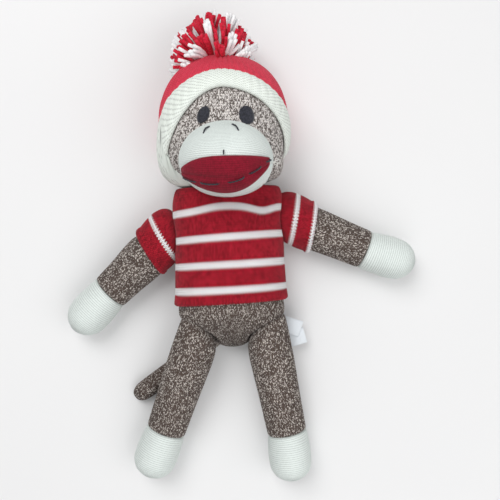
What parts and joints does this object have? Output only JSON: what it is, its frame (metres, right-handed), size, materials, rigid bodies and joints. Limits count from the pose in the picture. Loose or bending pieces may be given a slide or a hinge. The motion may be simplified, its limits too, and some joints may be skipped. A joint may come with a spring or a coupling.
{
  "type": "sock monkey doll",
  "caption": "Soft sock monkey doll in a striped sweater and bobble hat, lying on its back, with jointed head, arms, legs and tail and a hat that comes off.",
  "frame": {"origin": "on the plane that the doll lies on, under the middle of its bounding box", "axes": "+Y from the feet towards the hat, +Z from the doll's back towards its face, +X towards the doll's left"},
  "size_m": [0.2343, 0.3107, 0.0819],
  "materials": {
    "marled_knit": "brown and off-white marled sock knit",
    "cream_knit": "off-white sock knit",
    "red_knit": "red sweater and hat knit",
    "mouth_knit": "dark red sock knit",
    "pompom_yarn": "red and white cut yarn",
    "black_thread": "black embroidery thread",
    "polyester_fill": "white polyester fibre",
    "label_cloth": "pale woven label cloth, bare"
  },
  "bodies": {
    "root": {"body_skin": "marled_knit", "body_stuffing": "polyester_fill", "sweater_body": "red_knit", "label_upper": "label_cloth", "label_lower": "label_cloth"},
    "neck": {"neck_stuffing": "polyester_fill"},
    "head": {"head_skin": "marled_knit", "head_stuffing": "polyester_fill", "muzzle_skin": "cream_knit", "muzzle_stuffing": "polyester_fill", "mouth_patch": "mouth_knit", "mouth_stitch_1": "black_thread", "mouth_stitch_2": "black_thread", "mouth_stitch_3": "black_thread", "mouth_stitch_4": "black_thread", "mouth_stitch_5": "black_thread", "nostril_left": "black_thread", "nostril_right": "black_thread", "eye_left": "black_thread", "eye_right": "black_thread"},
    "hat": {"hat_crown": "red_knit", "hat_brim": "cream_knit", "pompom": "pompom_yarn", "pompom_tie": "cream_knit"},
    "shoulder_right": {"shoulder_stuffing_right": "polyester_fill"},
    "arm_right": {"arm_skin_right": "marled_knit", "arm_stuffing_right": "polyester_fill", "hand_skin_right": "cream_knit", "sleeve_right": "red_knit"},
    "shoulder_left": {"shoulder_stuffing_left": "polyester_fill"},
    "arm_left": {"arm_skin_left": "marled_knit", "arm_stuffing_left": "polyester_fill", "hand_skin_left": "cream_knit", "sleeve_left": "red_knit"},
    "hip_right": {"hip_stuffing_right": "polyester_fill"},
    "leg_right": {"leg_skin_right": "marled_knit", "leg_stuffing_right": "polyester_fill", "foot_skin_right": "cream_knit"},
    "hip_left": {"hip_stuffing_left": "polyester_fill"},
    "leg_left": {"leg_skin_left": "marled_knit", "leg_stuffing_left": "polyester_fill", "foot_skin_left": "cream_knit"},
    "tail": {"tail_skin": "marled_knit", "tail_stuffing": "polyester_fill"}
  },
  "joints": [
    {"name": "head_turn", "type": "hinge", "parent": "root", "child": "neck", "pos_m": [-0.00927, 0.04148, 0.021], "axis": [-0.0349, 0.9994, 0], "range_deg": [-35, 35]},
    {"name": "head_nod", "type": "hinge", "parent": "neck", "child": "head", "pos_m": [-0.00927, 0.04148, 0.021], "axis": [0.9994, 0.0349, 0], "range_deg": [-15, 8]},
    {"name": "hat_off", "type": "slide", "parent": "head", "child": "hat", "axis": [0, 0.9165, -0.4], "range_m": [0, 0.045]},
    {"name": "arm_raise_right", "type": "hinge", "parent": "root", "child": "shoulder_right", "pos_m": [-0.05272, 0.00794, 0.0175], "axis": [0, 0, -1], "range_deg": [-10, 87]},
    {"name": "arm_swing_right", "type": "hinge", "parent": "shoulder_right", "child": "arm_right", "pos_m": [-0.05272, 0.00794, 0.0175], "axis": [-0.6921, 0.7218, 0], "range_deg": [-20, 45], "deforming": ["sleeve_right"]},
    {"name": "arm_raise_left", "type": "hinge", "parent": "root", "child": "shoulder_left", "pos_m": [0.03608, 0.02055, 0.0175], "axis": [0, 0, 1], "range_deg": [-28, 65]},
    {"name": "arm_swing_left", "type": "hinge", "parent": "shoulder_left", "child": "arm_left", "pos_m": [0.03608, 0.02055, 0.0175], "axis": [-0.3714, -0.9285, 0], "range_deg": [-20, 45], "deforming": ["sleeve_left"]},
    {"name": "leg_lift_right", "type": "hinge", "parent": "root", "child": "hip_right", "pos_m": [-0.02902, -0.05777, 0.022], "axis": [-0.9994, -0.0349, 0], "range_deg": [0, 90]},
    {"name": "leg_spread_right", "type": "hinge", "parent": "hip_right", "child": "leg_right", "pos_m": [-0.02902, -0.05777, 0.022], "axis": [0, 0, -1], "range_deg": [-8, 2]},
    {"name": "leg_lift_left", "type": "hinge", "parent": "root", "child": "hip_left", "pos_m": [0.01735, -0.05615, 0.022], "axis": [-0.9994, -0.0349, 0], "range_deg": [-15, 90]},
    {"name": "leg_spread_left", "type": "hinge", "parent": "hip_left", "child": "leg_left", "pos_m": [0.01735, -0.05615, 0.022], "axis": [0, 0, 1], "range_deg": [-10, 20]},
    {"name": "tail_swing", "type": "hinge", "parent": "root", "child": "tail", "pos_m": [-0.01822, -0.0604, 0.0033], "axis": [0.5962, -0.8028, 0], "range_deg": [0, 40]}
  ]
}
